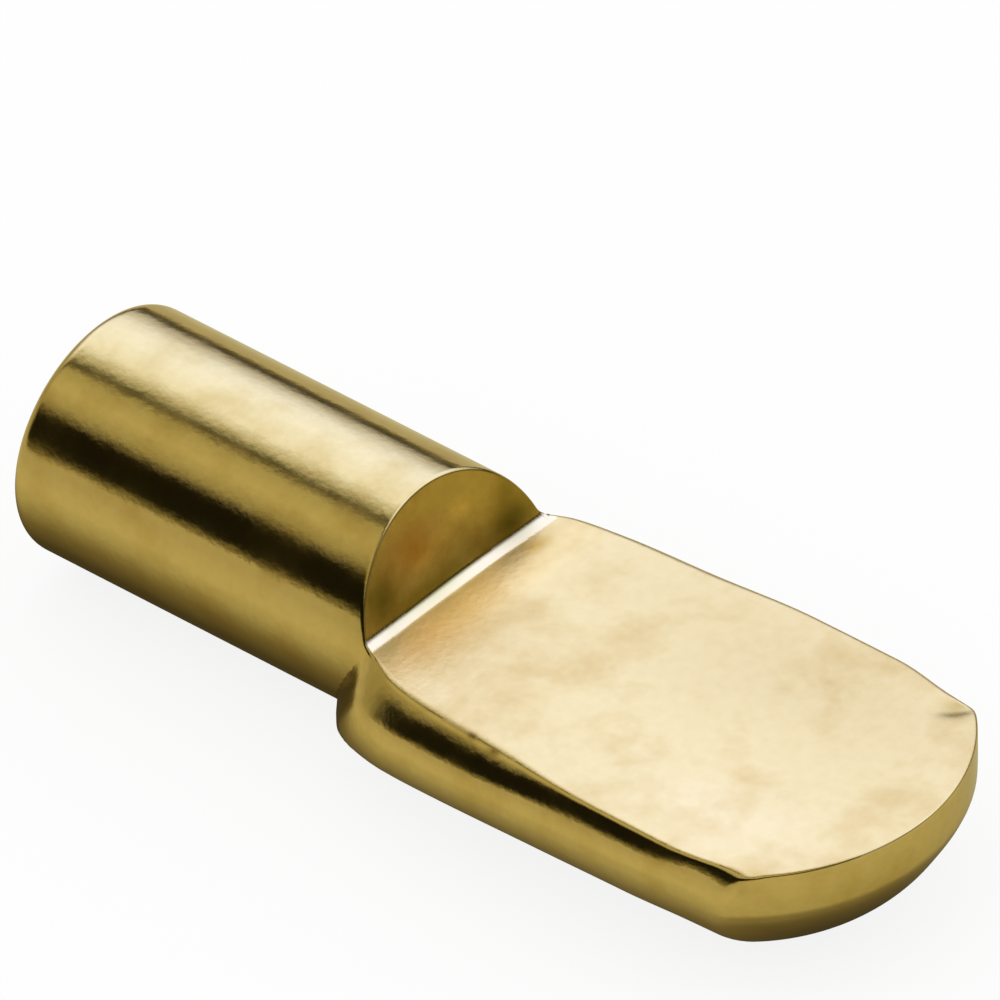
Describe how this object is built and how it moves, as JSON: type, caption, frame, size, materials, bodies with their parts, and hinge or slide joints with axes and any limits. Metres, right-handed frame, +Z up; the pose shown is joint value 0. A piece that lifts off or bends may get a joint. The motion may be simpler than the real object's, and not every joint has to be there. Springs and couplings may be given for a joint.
{
  "type": "shelf support pin",
  "caption": "Solid brass shelf pin: a round shank pushes into a hole in a cabinet side, and a flat-topped paddle in front of it carries the shelf.",
  "frame": {"origin": "on the shank's axis, under the top edge of the shoulder, where the full round ends", "axes": "+X along the shank's axis towards the paddle, +Z up out of the flat that carries the shelf, -X is the way the shank enters its hole"},
  "size_m": [0.0248, 0.0088, 0.0062],
  "materials": {
    "brass": "polished, lightly tumbled"
  },
  "bodies": {
    "root": {"shelf_pin": "brass"}
  },
  "joints": []
}
